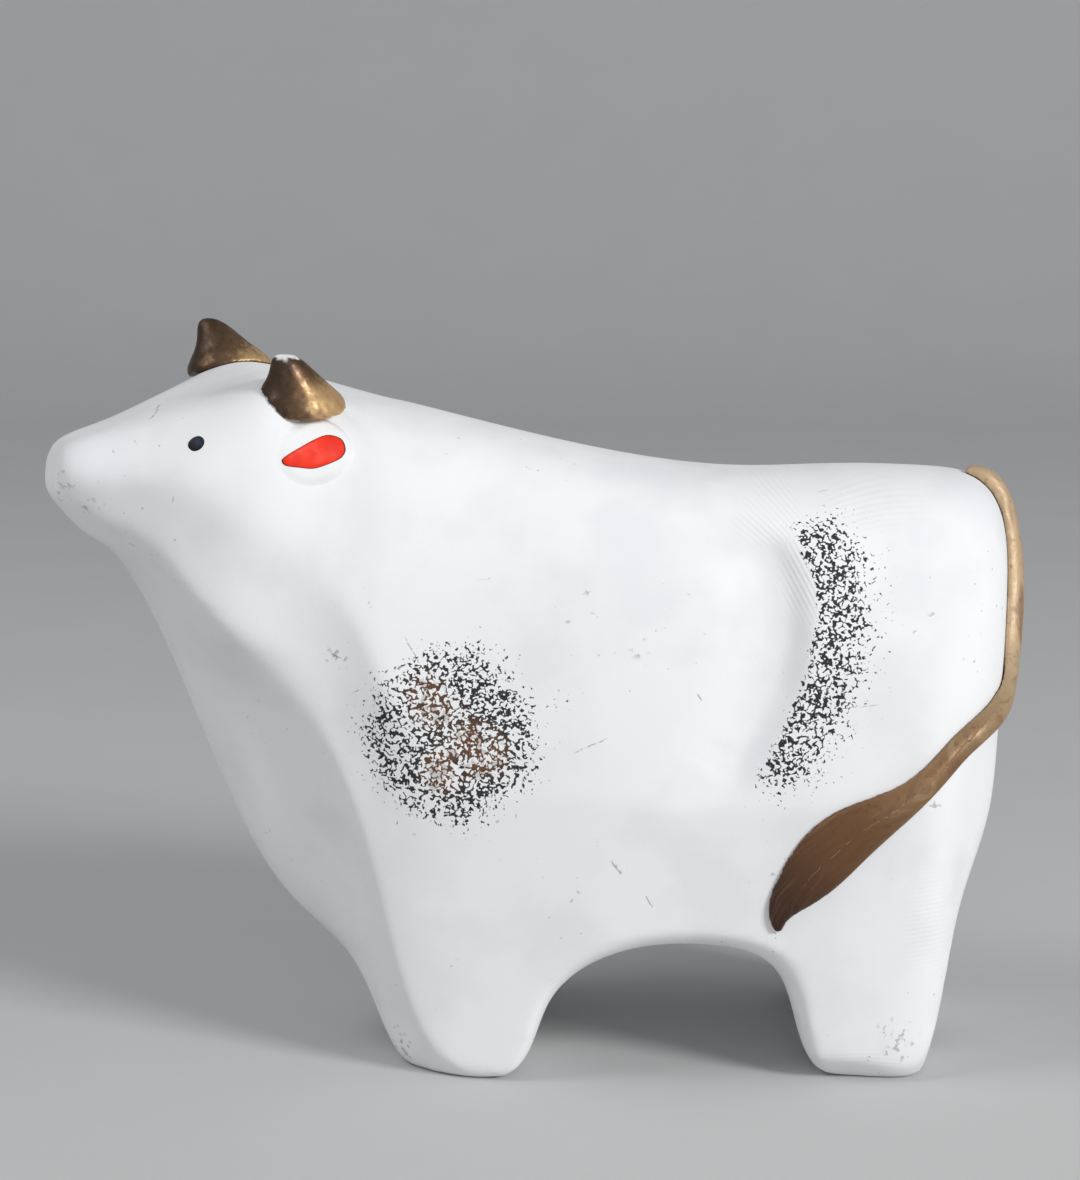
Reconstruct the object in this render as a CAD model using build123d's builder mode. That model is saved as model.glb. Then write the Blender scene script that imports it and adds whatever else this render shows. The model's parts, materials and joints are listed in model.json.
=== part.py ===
from build123d import *
from math import cos, radians, sin, sqrt
from typing import NamedTuple
import os

# A standing cow figurine cast in white plaster, in millimetres. The animal faces -X, its left
# flank faces -Y, +Z is up, and the four feet stand on Z = 0. The trunk is straight and the
# head is turned towards the left flank.

# Trunk
RUMP_X = 86.0
BACK_Z = 108.0
WITHERS_Z = 119.5
TRUNK_HALF_WIDTH = 34.0
CHEST_HALF_WIDTH = 31.5
BRISKET_X = -47.0
BRISKET_Z = 28.0

# Hollows in the flanks in front of the thighs
HOLLOW_X = 8.0
HOLLOW_REACH = 40.0
HOLLOW_LOW = 0.44 * BACK_Z
HOLLOW_HIGH = 0.97 * BACK_Z
HOLLOW_DEPTH = 2.2

# Legs
FOOT_HALF_WIDTH = 31.0
FOOT_ROUNDING = 4.0
ARCH_TOP_X = 29.0
ARCH_HEIGHT = 25.0
ARCH_FRONT = 29.5
ARCH_REAR = 17.5
ARCH_ROLL = 8.0
ARCH_FOOT = 9.0
LEG_GAP = 14.0
LEG_GAP_HEIGHT = 15.0

# Head, laid out straight ahead, then turned about the vertical through the neck and rolled to one side
NECK_X = -34.0
HEAD_TURN = 22.0
HEAD_ROLL = 4.0
CROWN_X = -53.0
CROWN_Z = 126.6
HEAD_HALF_WIDTH = 29.6
MUZZLE_X = -92.0
MUZZLE_Z = 111.0
MUZZLE_HALF_WIDTH = 6.5

# Horns, seated on the head beside the crown
HORN_X = -51.1
HORN_Z = 125.0
HORN_SPACING = 42.0
HORN_HEIGHT = 8.5
HORN_BASE = 16.6
HORN_TIP = 4.0
HORN_LEAN = 3.5
HORN_SPLAY = 14.0
HORN_ROUNDNESS = 0.84
PEG_DIAMETER = 4.0
PEG_LENGTH = 5.0
PEG_CLEARANCE = 0.1

# Ears and their enamel drops
EAR_X = -50.7
EAR_Z = 114.2
EAR_TILT = 16.0
EAR_LENGTH = 16.0
EAR_WIDTH = 10.5
EAR_HEIGHT = 1.8
DROP_LENGTH = 13.5
DROP_WIDTH = 6.4
DROP_DEPTH = 0.6
DROP_PROUD = 0.25

# Eyes
EYE_X = -70.2
EYE_Z = 116.8
EYE_DIAMETER = 3.1
EYE_PROUD = 0.5
EYE_DEPTH = 1.0

# Tail
TAIL_WIDTH = 5.0
TAIL_HEIGHT = 3.3
TUFT_WIDTH = 11.0

# Room for cutters and sight lines outside the figure
UNDER_CUT = 20.0
FAR_OUT = 150.0

SIDES = [(-1, "left"), (1, "right")]

# A hollow from front to rear edge: share of the reach, then share of the depth, below 0 off the
# flank. The same from its low to its high end: share of the way up, of the reach and of the depth.
HOLLOW_ACROSS = [(-0.3, -0.35), (0.05, 0), (0.42, 0.5), (0.72, 1), (0.88, 0.8), (1, 0), (1.1, -0.9)]
HOLLOW_LEVELS = [
    (0, 0.5, -0.45),
    (0.14, 0.66, 0.35),
    (0.35, 0.92, 0.85),
    (0.58, 1, 1),
    (0.79, 0.94, 0.9),
    (0.93, 0.82, 0.4),
    (1, 0.71, -0.4),
]

# Levels of a horn and of an ear: rise as a share of the height, then share of the width
HORN_LEVELS = [(-0.22, 1.0), (-0.05, 0.95), (0.25, 0.66), (0.6, 0.32), (0.88, 0.07), (1.0, -0.2)]
EAR_LEVELS = [(-1.6, 1.0), (0.0, 0.98), (0.5, 0.86), (0.85, 0.6), (1.0, 0.22)]

# The tail's route: a point near the surface, the way in to it, the width and the height there
DOWN_IN = (0, 0, -1)
OVER_IN = (-1, 0, -1)
REAR_IN = (-1, 0, 0)
FLANK_IN = (0, 1, 0)
TAIL_ROUTE = [
    ((RUMP_X - 8, 0, BACK_Z), DOWN_IN, 0.6 * TAIL_WIDTH, 0.5 * TAIL_HEIGHT),
    ((RUMP_X - 2.5, -0.03 * TRUNK_HALF_WIDTH, BACK_Z - 5.5), OVER_IN, 0.9 * TAIL_WIDTH, 0.9 * TAIL_HEIGHT),
    ((RUMP_X, -0.07 * TRUNK_HALF_WIDTH, BACK_Z - 16), (-1, 0, -0.3), TAIL_WIDTH, TAIL_HEIGHT),
    ((RUMP_X, -0.15 * TRUNK_HALF_WIDTH, BACK_Z - 26), REAR_IN, TAIL_WIDTH, TAIL_HEIGHT),
    ((RUMP_X - 1, -0.3 * TRUNK_HALF_WIDTH, BACK_Z - 34), (-1, 0.15, 0), TAIL_WIDTH, TAIL_HEIGHT),
    ((RUMP_X - 5, -0.58 * TRUNK_HALF_WIDTH, BACK_Z - 40.5), (-1, 0.6, 0), TAIL_WIDTH, 0.9 * TAIL_HEIGHT),
    ((RUMP_X - 12, -0.86 * TRUNK_HALF_WIDTH, BACK_Z - 46.2), (-0.6, 1, 0), TAIL_WIDTH, 0.8 * TAIL_HEIGHT),
    ((RUMP_X - 18, -TRUNK_HALF_WIDTH, BACK_Z - 52.4), FLANK_IN, 0.48 * TUFT_WIDTH, 0.75 * TAIL_HEIGHT),
    ((RUMP_X - 24, -TRUNK_HALF_WIDTH, BACK_Z - 56.6), FLANK_IN, 0.68 * TUFT_WIDTH, 0.7 * TAIL_HEIGHT),
    ((RUMP_X - 29.5, -TRUNK_HALF_WIDTH, BACK_Z - 60), FLANK_IN, 0.92 * TUFT_WIDTH, 0.7 * TAIL_HEIGHT),
    ((RUMP_X - 36, -TRUNK_HALF_WIDTH, BACK_Z - 66), FLANK_IN, TUFT_WIDTH, 0.62 * TAIL_HEIGHT),
    ((RUMP_X - 41.8, -TRUNK_HALF_WIDTH, BACK_Z - 73.2), FLANK_IN, 0.62 * TUFT_WIDTH, 0.52 * TAIL_HEIGHT),
    ((RUMP_X - 43.5, -TRUNK_HALF_WIDTH, BACK_Z - 79), FLANK_IN, 0.12 * TUFT_WIDTH, 0.35 * TAIL_HEIGHT),
]


class Station(NamedTuple):
    """One cross-section of the casting, as half an outline hung from its top line.

    Points are (x, z) on the middle plane for the top and the keel, and (half-width, z) for the
    turn, where the flank goes under, and for a point under it. The flank breaks in an edge
    there if the station is creased, and runs on smoothly if it is not.
    """

    top: tuple
    keel: tuple
    half_width: float
    crease: tuple
    under: tuple
    turn: float = 0.0
    shoulder_out: float = 0.74
    shoulder_drop: float = 0.22
    creased: bool = True


WIDEST_DROP = 0.5
FOOT_CREASE = (FOOT_HALF_WIDTH, FOOT_ROUNDING)
FOOT_UNDER = (FOOT_HALF_WIDTH - 5, -1)

RUMP_STATIONS = [
    Station(
        (RUMP_X, 0.815 * BACK_Z),
        (RUMP_X - 1.6, 0.537 * BACK_Z),
        0.18 * TRUNK_HALF_WIDTH,
        (0.153 * TRUNK_HALF_WIDTH, 0.6 * BACK_Z),
        (0.1 * TRUNK_HALF_WIDTH, 0.556 * BACK_Z),
    ),
    Station(
        (RUMP_X - 0.5, 0.89 * BACK_Z),
        (RUMP_X - 2.5, 0.435 * BACK_Z),
        0.38 * TRUNK_HALF_WIDTH,
        (0.3 * TRUNK_HALF_WIDTH, 0.51 * BACK_Z),
        (0.16 * TRUNK_HALF_WIDTH, 0.457 * BACK_Z),
    ),
    Station(
        (RUMP_X - 2, 0.944 * BACK_Z),
        (RUMP_X - 4.3, 0.356 * BACK_Z),
        0.56 * TRUNK_HALF_WIDTH,
        (0.456 * TRUNK_HALF_WIDTH, 0.426 * BACK_Z),
        (0.265 * TRUNK_HALF_WIDTH, 0.375 * BACK_Z),
    ),
    Station(
        (RUMP_X - 5, 0.979 * BACK_Z),
        (RUMP_X - 9.8, 0.231 * BACK_Z),
        0.75 * TRUNK_HALF_WIDTH,
        (0.632 * TRUNK_HALF_WIDTH, 0.287 * BACK_Z),
        (0.382 * TRUNK_HALF_WIDTH, 0.241 * BACK_Z),
    ),
    Station(
        (RUMP_X - 9, 0.995 * BACK_Z),
        (RUMP_X - 13.6, 0.074 * BACK_Z),
        0.86 * TRUNK_HALF_WIDTH,
        (0.84 * FOOT_HALF_WIDTH, 0.12 * BACK_Z),
        (0.645 * FOOT_HALF_WIDTH, 0.083 * BACK_Z),
    ),
    Station(
        (RUMP_X - 14, BACK_Z),
        (RUMP_X - 17, -1),
        0.94 * TRUNK_HALF_WIDTH,
        (FOOT_HALF_WIDTH - 2, FOOT_ROUNDING),
        (FOOT_HALF_WIDTH - 6, 0),
    ),
]
TRUNK_STATIONS = [
    Station((RUMP_X - 26, BACK_Z + 0.4), (RUMP_X - 26, -2), TRUNK_HALF_WIDTH, FOOT_CREASE, FOOT_UNDER),
    Station((ARCH_TOP_X + 9, BACK_Z), (ARCH_TOP_X + 7, -2), TRUNK_HALF_WIDTH, FOOT_CREASE, FOOT_UNDER),
    Station(
        (ARCH_TOP_X - 18, WITHERS_Z - 8.2),
        (ARCH_TOP_X - 25, -2),
        TRUNK_HALF_WIDTH - 0.5,
        FOOT_CREASE,
        FOOT_UNDER,
    ),
    Station(
        (NECK_X + 23, WITHERS_Z - 3),
        (NECK_X + 15, -2),
        TRUNK_HALF_WIDTH - 2,
        (FOOT_HALF_WIDTH - 2.5, FOOT_ROUNDING + 1),
        (FOOT_HALF_WIDTH - 7, -0.5),
    ),
]
CHEST_STATIONS = [
    Station(
        (NECK_X + 11, WITHERS_Z),
        (NECK_X + 6.5, 2),
        CHEST_HALF_WIDTH + 0.5,
        (CHEST_HALF_WIDTH - 3.5, BRISKET_Z - 3),
        (0.68 * CHEST_HALF_WIDTH, 0.25 * BRISKET_Z),
    ),
    Station(
        (NECK_X + 6, WITHERS_Z + 0.9),
        (BRISKET_X + 10.5, BRISKET_Z - 10.5),
        CHEST_HALF_WIDTH,
        (CHEST_HALF_WIDTH - 3.5, BRISKET_Z + 24),
        (0.51 * CHEST_HALF_WIDTH, BRISKET_Z - 1),
    ),
    Station(
        (NECK_X, WITHERS_Z + 2.2),
        (BRISKET_X, BRISKET_Z),
        CHEST_HALF_WIDTH - 0.5,
        (CHEST_HALF_WIDTH - 4, BRISKET_Z + 38.5),
        (0.475 * CHEST_HALF_WIDTH, BRISKET_Z + 14),
        0.18 * HEAD_TURN,
        0.77,
    ),
]
HEAD_STATIONS = [
    Station(
        (CROWN_X + 9, CROWN_Z - 2),
        (BRISKET_X - 11.8, 0.39 * CROWN_Z),
        HEAD_HALF_WIDTH + 1.3,
        (0.91 * HEAD_HALF_WIDTH, 0.622 * CROWN_Z),
        (0.473 * HEAD_HALF_WIDTH, 0.485 * CROWN_Z),
        0.5 * HEAD_TURN,
        0.86,
        0.26,
    ),
    Station(
        (CROWN_X, CROWN_Z),
        (CROWN_X - 16.5, 0.605 * CROWN_Z),
        HEAD_HALF_WIDTH,
        (0.836 * HEAD_HALF_WIDTH, 0.688 * CROWN_Z),
        (0.436 * HEAD_HALF_WIDTH, 0.642 * CROWN_Z),
        0.82 * HEAD_TURN,
        0.9,
        0.28,
    ),
    Station(
        (CROWN_X - 9, CROWN_Z - 2.5),
        (MUZZLE_X + 12.6, MUZZLE_Z - 16.3),
        0.82 * HEAD_HALF_WIDTH,
        (0.636 * HEAD_HALF_WIDTH, MUZZLE_Z - 12),
        (0.327 * HEAD_HALF_WIDTH, MUZZLE_Z - 15.2),
        0.95 * HEAD_TURN,
        0.84,
        0.26,
    ),
    Station(
        (MUZZLE_X + 19.3, MUZZLE_Z + 10),
        (MUZZLE_X + 6.8, MUZZLE_Z - 12.1),
        0.56 * HEAD_HALF_WIDTH,
        (0.42 * HEAD_HALF_WIDTH, MUZZLE_Z - 8.5),
        (0.24 * HEAD_HALF_WIDTH, MUZZLE_Z - 11.4),
        HEAD_TURN,
    ),
]
MUZZLE_STATIONS = [
    Station(
        (MUZZLE_X + 11, MUZZLE_Z + 7.2),
        (MUZZLE_X + 3, MUZZLE_Z - 8.1),
        MUZZLE_HALF_WIDTH + 5.5,
        (MUZZLE_HALF_WIDTH + 2.7, MUZZLE_Z - 5.2),
        (0.8 * MUZZLE_HALF_WIDTH, MUZZLE_Z - 7.4),
        HEAD_TURN,
        creased=False,
    ),
    Station(
        (MUZZLE_X + 4.2, MUZZLE_Z + 5.2),
        (MUZZLE_X + 0.8, MUZZLE_Z - 5.3),
        MUZZLE_HALF_WIDTH + 2.2,
        (MUZZLE_HALF_WIDTH, MUZZLE_Z - 3.3),
        (0.58 * MUZZLE_HALF_WIDTH, MUZZLE_Z - 4.9),
        HEAD_TURN,
        creased=False,
    ),
    Station(
        (MUZZLE_X + 1.4, MUZZLE_Z + 3),
        (MUZZLE_X, MUZZLE_Z - 2.8),
        0.78 * MUZZLE_HALF_WIDTH,
        (0.58 * MUZZLE_HALF_WIDTH, MUZZLE_Z - 1.7),
        (0.33 * MUZZLE_HALF_WIDTH, MUZZLE_Z - 2.6),
        HEAD_TURN,
        creased=False,
    ),
]
STATIONS = RUMP_STATIONS + TRUNK_STATIONS + CHEST_STATIONS + HEAD_STATIONS + MUZZLE_STATIONS


def turned(point, angle):
    """A point of the straight head, turned about the vertical through the neck."""
    neck = Axis((NECK_X, 0, 0), (0, 0, 1))
    return (Vector(point) - neck.position).rotate(Axis.Z, angle) + neck.position


def station_section(station):
    """The closed outline of one station on its own plane."""
    top_x, top_z = station.top
    keel_x, keel_z = station.keel
    length = sqrt((top_x - keel_x) ** 2 + (top_z - keel_z) ** 2)
    per_height = length / (top_z - keel_z)
    across = Vector(0, 1, 0)
    up = Vector(top_x - keel_x, 0, top_z - keel_z)
    plane = Plane(
        origin=turned((top_x, 0, top_z), station.turn),
        x_dir=across.rotate(Axis.Z, station.turn),
        z_dir=across.cross(up).rotate(Axis.Z, station.turn),
    )
    plane = plane.rotated((0, 0, -HEAD_ROLL * station.turn / HEAD_TURN))
    crease = (station.crease[0], (station.crease[1] - top_z) * per_height)
    under = (station.under[0], (station.under[1] - top_z) * per_height)
    widest = (station.half_width, WIDEST_DROP * crease[1])
    shoulder = (station.shoulder_out * widest[0], station.shoulder_drop * widest[1])
    into = Vector(crease) - Vector(widest)
    out_of = Vector(under) - Vector(crease)
    if not station.creased:
        into = into.normalized() + out_of.normalized()
        out_of = into
    with BuildSketch(plane) as section:
        with BuildLine():
            Spline((0, 0), shoulder, widest, crease, tangents=[(1, 0), into])
            Spline(crease, under, (0, -length), tangents=[out_of, (-1, 0)])
            mirror(about=Plane.YZ)
        make_face()
    return section.sketch


def arch_section(y):
    """The belly arch as an outline at one y, rolled open towards the flanks."""
    past = max(0.0, abs(y) - (TRUNK_HALF_WIDTH - ARCH_ROLL))
    spread = ARCH_ROLL - sqrt(max(0.0, ARCH_ROLL**2 - past**2))
    front = ARCH_FRONT + spread
    rear = ARCH_REAR + spread
    height = ARCH_HEIGHT + spread
    front_toe = (ARCH_TOP_X - front - ARCH_FOOT, 0)
    rear_toe = (ARCH_TOP_X + rear + ARCH_FOOT, 0)
    with BuildSketch(Plane.XZ.offset(-y)) as section:
        with BuildLine():
            Spline(
                front_toe,
                (ARCH_TOP_X - 0.93 * front, 0.55 * height),
                (ARCH_TOP_X - 0.55 * front, 0.915 * height),
                (ARCH_TOP_X, height),
                (ARCH_TOP_X + 0.71 * rear, 0.856 * height),
                (ARCH_TOP_X + 0.98 * rear, 0.45 * height),
                rear_toe,
                tangents=[(1, 0), (1, 0)],
            )
            Polyline(
                rear_toe,
                (rear_toe[0], -UNDER_CUT),
                (front_toe[0], -UNDER_CUT),
                front_toe,
            )
        make_face()
    return section.sketch


def first_hit(shape, start, direction):
    """Where a line from outside first meets a shape, with the outward normal there."""
    point, normal = shape.shell().find_intersection_points(Axis(start, direction))[0]
    if normal.dot(Vector(direction)) > 0:
        normal = -normal
    return point, normal


def hollow_section(shape, side, rise, reach, deep):
    """The outline of a flank hollow's cutter at one height, found from the flank it cuts."""
    z = HOLLOW_LOW + rise * (HOLLOW_HIGH - HOLLOW_LOW)
    floor = []
    for share, part in HOLLOW_ACROSS:
        x = HOLLOW_X + share * reach * HOLLOW_REACH
        flank = first_hit(shape, (x, side * FAR_OUT, z), (0, -side, 0))[0]
        depth = HOLLOW_DEPTH * min(part, part * deep, deep)
        floor.append((x, flank.Y - side * depth))
    outside = side * (TRUNK_HALF_WIDTH + UNDER_CUT)
    with BuildSketch(Plane.XY.offset(z)) as section:
        with BuildLine():
            Spline(*floor)
            Polyline(floor[-1], (floor[-1][0], outside), (floor[0][0], outside), floor[0])
        make_face()
    return section.sketch


def stacked_ellipses(levels):
    """A solid through ellipses, each given as plane, x diameter and y diameter."""
    sections = []
    for plane, x_diameter, y_diameter in levels:
        with BuildSketch(plane) as section:
            Ellipse(x_diameter / 2, y_diameter / 2)
        sections.append(section.sketch)
    with BuildPart() as stack:
        loft(sections=sections)
    return stack.part


def head_point(x, side, z):
    """A point far out beside the straight head, and the way in, both turned with it."""
    start = turned((x, side * FAR_OUT, z), HEAD_TURN)
    return start, Vector(0, -side, 0).rotate(Axis.Z, HEAD_TURN)


os.makedirs("parts", exist_ok=True)

# The outer form, and the bare casting: belly arch, gap between left and right legs, flat feet
with BuildPart() as form:
    loft(sections=[station_section(station) for station in STATIONS])
with BuildPart() as casting:
    add(form.part)
    roll_start = TRUNK_HALF_WIDTH - ARCH_ROLL
    arch_ys = [roll_start * share for share in (0, 0.5, 0.8, 1)]
    arch_ys += [roll_start + ARCH_ROLL * share for share in (0.3, 0.6, 0.8, 0.95, 1.1)]
    arch_ys = [-y for y in reversed(arch_ys[1:])] + arch_ys
    loft(sections=[arch_section(y) for y in arch_ys], mode=Mode.SUBTRACT)
    with BuildSketch(Plane.YZ.offset(-FAR_OUT)):
        with BuildLine():
            Spline(
                (-LEG_GAP / 2 - FOOT_ROUNDING, 0),
                (-LEG_GAP / 2, 0.4 * LEG_GAP_HEIGHT),
                (0, LEG_GAP_HEIGHT),
                (LEG_GAP / 2, 0.4 * LEG_GAP_HEIGHT),
                (LEG_GAP / 2 + FOOT_ROUNDING, 0),
                tangents=[(1, 0.3), (1, -0.3)],
            )
            Polyline(
                (LEG_GAP / 2 + FOOT_ROUNDING, 0),
                (LEG_GAP / 2 + FOOT_ROUNDING, -UNDER_CUT),
                (-LEG_GAP / 2 - FOOT_ROUNDING, -UNDER_CUT),
                (-LEG_GAP / 2 - FOOT_ROUNDING, 0),
            )
        make_face()
    extrude(amount=2 * FAR_OUT, mode=Mode.SUBTRACT)
    with Locations((0, 0, -UNDER_CUT / 2)):
        Box(4 * FAR_OUT, 2 * FAR_OUT, UNDER_CUT, mode=Mode.SUBTRACT)

hollows = []
for side, name in SIDES:
    with BuildPart() as hollow:
        loft(sections=[hollow_section(casting.part, side, *level) for level in HOLLOW_LEVELS])
    hollows.append(hollow.part)
with BuildPart() as hollowed:
    add(casting.part)
    add(hollows, mode=Mode.SUBTRACT)

# Horns and their pegs, one on each side of the crown
forward = Vector(-1, 0, 0).rotate(Axis.Z, HEAD_TURN)
horns = []
sockets = []
for side, name in SIDES:
    way_in = Vector(0, -side, -1).rotate(Axis.Z, HEAD_TURN)
    near_seat = turned((HORN_X, side * HORN_SPACING / 2, HORN_Z), HEAD_TURN)
    seat, normal = first_hit(casting.part, near_seat - way_in * FAR_OUT, way_in)
    upward = Vector(0, 0, 1).rotate(Axis((0, 0, 0), forward), side * HORN_SPLAY)
    horn_levels = []
    for rise, share in HORN_LEVELS:
        centre = seat + forward * HORN_LEAN * max(0, rise) ** 1.3 + upward * rise * HORN_HEIGHT
        size = HORN_TIP + (HORN_BASE - HORN_TIP) * share
        plane = Plane(centre, x_dir=forward, z_dir=upward)
        horn_levels.append((plane, size, HORN_ROUNDNESS * size))
    peg_plane = Plane(seat, z_dir=normal)
    with BuildPart() as horn:
        add(stacked_ellipses(horn_levels))
        add(casting.part, mode=Mode.SUBTRACT)
        with BuildSketch(peg_plane.offset(-PEG_LENGTH)):
            Circle(PEG_DIAMETER / 2)
        extrude(amount=PEG_LENGTH + PEG_DIAMETER / 2)
    with BuildPart() as socket:
        with BuildSketch(peg_plane.offset(-PEG_LENGTH - PEG_CLEARANCE)):
            Circle(PEG_DIAMETER / 2 + PEG_CLEARANCE)
        extrude(amount=PEG_LENGTH + PEG_DIAMETER)
    sockets.append(socket.part)
    horns.append(horn.part)
    horn.part.label = "horn_" + name
    export_step(horn.part, "parts/horn_" + name + ".step")

# Ear pads with their inlaid drops
for side, name in SIDES:
    seat, normal = first_hit(casting.part, *head_point(EAR_X, side, EAR_Z))
    backward = -forward * cos(radians(EAR_TILT)) + Vector(0, 0, sin(radians(EAR_TILT)))
    along = (backward - normal * backward.dot(normal)).normalized()

    def ear_dome(raise_by):
        """The ear's soft dome, moved out from the head by a height."""
        levels = []
        for rise, share in EAR_LEVELS:
            plane = Plane(seat + normal * (rise * EAR_HEIGHT + raise_by), x_dir=along, z_dir=normal)
            levels.append((plane, share * EAR_LENGTH, share * EAR_WIDTH))
        return stacked_ellipses(levels)

    with BuildPart() as ear_drop:
        with BuildSketch(Plane(seat - normal * EAR_HEIGHT, x_dir=along, z_dir=normal)):
            with BuildLine():
                radius = DROP_WIDTH / 2
                bulge_x = DROP_LENGTH / 2 - radius
                Spline(
                    (-DROP_LENGTH / 2, 0),
                    (bulge_x - 0.45 * DROP_LENGTH, 0.72 * radius),
                    (bulge_x, radius),
                    tangents=[(1, 0.7), (1, 0)],
                )
                ThreePointArc((bulge_x, radius), (DROP_LENGTH / 2, 0), (bulge_x, -radius))
                Spline(
                    (bulge_x, -radius),
                    (bulge_x - 0.45 * DROP_LENGTH, -0.72 * radius),
                    (-DROP_LENGTH / 2, 0),
                    tangents=[(-1, 0), (-1, 0.7)],
                )
            make_face()
        extrude(amount=4 * EAR_HEIGHT)
        add(ear_dome(DROP_PROUD), mode=Mode.INTERSECT)
        add(ear_dome(-DROP_DEPTH), mode=Mode.SUBTRACT)
        add(casting.part, mode=Mode.SUBTRACT)
        add(horns, mode=Mode.SUBTRACT)
    with BuildPart() as ear:
        add(ear_dome(0))
        add(casting.part, mode=Mode.SUBTRACT)
        add(horns, mode=Mode.SUBTRACT)
        add(ear_drop.part, mode=Mode.SUBTRACT)
    ear_drop.part.label = "ear_drop_" + name
    export_step(ear_drop.part, "parts/ear_drop_" + name + ".step")
    ear.part.label = "ear_" + name
    export_step(ear.part, "parts/ear_" + name + ".step")

# Eyes, enamel buttons set in drilled seats
eye_seats = []
for side, name in SIDES:
    seat, normal = first_hit(casting.part, *head_point(EYE_X, side, EYE_Z))
    eye_radius = EYE_DIAMETER / 2
    dome_radius = (eye_radius**2 + EYE_PROUD**2) / (2 * EYE_PROUD)
    half_way = EYE_PROUD - dome_radius + sqrt(dome_radius**2 - eye_radius**2 / 4)
    eye_plane = Plane(seat, z_dir=normal)
    with BuildPart() as eye:
        with BuildSketch(Plane(seat, x_dir=eye_plane.x_dir, z_dir=-eye_plane.y_dir)):
            with BuildLine():
                ThreePointArc((eye_radius, 0), (eye_radius / 2, half_way), (0, EYE_PROUD))
                Polyline(
                    (0, EYE_PROUD),
                    (0, -EYE_DEPTH),
                    (eye_radius, -EYE_DEPTH),
                    (eye_radius, 0),
                )
            make_face()
        revolve(axis=Axis(seat, normal))
    with BuildPart() as eye_seat:
        with BuildSketch(eye_plane.offset(-EYE_DEPTH)):
            Circle(eye_radius)
        extrude(amount=EYE_DEPTH + EYE_DIAMETER)
    eye_seats.append(eye_seat.part)
    eye.part.label = "eye_" + name
    export_step(eye.part, "parts/eye_" + name + ".step")

# Tail, a half-round strip from the root on the rump to the tuft on the left thigh
tail_seats = []
for target, inward, width, height in TAIL_ROUTE:
    way_in = Vector(inward).normalized()
    point, normal = first_hit(form.part, Vector(target) - way_in * FAR_OUT / 2, way_in)
    tail_seats.append((point, normal, width, height))
tail_sections = []
for index, (point, normal, width, height) in enumerate(tail_seats):
    before = tail_seats[max(0, index - 1)][0]
    after = tail_seats[min(len(tail_seats) - 1, index + 1)][0]
    run = (after - before).normalized()
    across = normal.cross(run)
    with BuildSketch(Plane(point, x_dir=across, z_dir=run)) as section:
        Ellipse(width / 2, height)
    tail_sections.append(section.sketch)
with BuildPart() as tail:
    loft(sections=tail_sections)
    add(form.part, mode=Mode.SUBTRACT)
tail.part.label = "tail"
export_step(tail.part, "parts/tail.step")

# The casting with the seats that the other pieces need
with BuildPart() as body:
    add(hollowed.part)
    add(sockets, mode=Mode.SUBTRACT)
    add(eye_seats, mode=Mode.SUBTRACT)
body.part.label = "body"
export_step(body.part, "parts/body.step")
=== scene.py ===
import json
from math import cos, pi, radians, sin

import bmesh
import bpy
import numpy as np
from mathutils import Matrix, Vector, noise
from mathutils.bvhtree import BVHTree

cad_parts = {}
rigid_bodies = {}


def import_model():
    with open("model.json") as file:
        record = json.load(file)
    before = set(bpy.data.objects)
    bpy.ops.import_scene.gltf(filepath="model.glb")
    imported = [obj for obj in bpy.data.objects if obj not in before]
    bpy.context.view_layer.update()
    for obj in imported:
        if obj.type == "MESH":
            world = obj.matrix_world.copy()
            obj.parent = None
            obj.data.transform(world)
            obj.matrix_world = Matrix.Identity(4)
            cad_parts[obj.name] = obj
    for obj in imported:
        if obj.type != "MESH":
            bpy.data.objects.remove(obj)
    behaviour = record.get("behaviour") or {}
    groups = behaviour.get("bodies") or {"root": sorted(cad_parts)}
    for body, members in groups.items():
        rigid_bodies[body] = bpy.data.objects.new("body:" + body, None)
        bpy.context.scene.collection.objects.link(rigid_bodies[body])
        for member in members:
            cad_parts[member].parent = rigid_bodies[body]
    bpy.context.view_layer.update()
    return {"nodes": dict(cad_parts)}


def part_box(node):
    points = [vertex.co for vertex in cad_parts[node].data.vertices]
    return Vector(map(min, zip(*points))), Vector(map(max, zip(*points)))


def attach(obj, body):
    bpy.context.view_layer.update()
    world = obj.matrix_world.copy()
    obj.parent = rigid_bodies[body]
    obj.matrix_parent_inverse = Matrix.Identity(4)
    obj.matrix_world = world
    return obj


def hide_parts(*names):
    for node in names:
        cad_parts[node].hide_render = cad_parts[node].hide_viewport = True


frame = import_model()
nodes = frame["nodes"]
MM = 0.001

# Camera, from the photo's perspective
CAMERA_PLACE = (0.0, -0.640, 0.198)
CAMERA_PITCH = 10.0
SENSOR_WIDTH = 36.0
LENS = 116.98

# Skin of the casting
SKIN_VOXEL = 0.9 * MM
SKIN_SMOOTHING = 7
SCRAPE_DEPTH = 1.8 * MM
EYE_SEAT_REACH = 2.4 * MM
HORN_VOXEL = 0.4 * MM
TAIL_VOXEL = 0.45 * MM
HEAD_TURN = 22.0

# Sponge-stippled patches in side view, in mm
SHOULDER_PATCH = (-15.9, 64.6)
SHOULDER_RADIUS = 20.0
BROWN_SPOTS = [((-20.0, 71.0), 6.5), ((-11.2, 61.4), 6.5), ((-17.5, 58.0), 5.0)]
SHOULDER_TRAIL = (3.0, 72.0)
THIGH_EDGE = [
    (43.4, 103.0),
    (44.7, 99.7),
    (45.8, 96.6),
    (48.0, 92.4),
    (48.6, 86.7),
    (48.0, 80.9),
    (46.8, 75.9),
    (45.5, 71.6),
    (43.7, 68.0),
    (42.0, 64.3),
    (38.9, 59.3),
    (36.8, 54.9),
    (33.5, 49.5),
]

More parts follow.
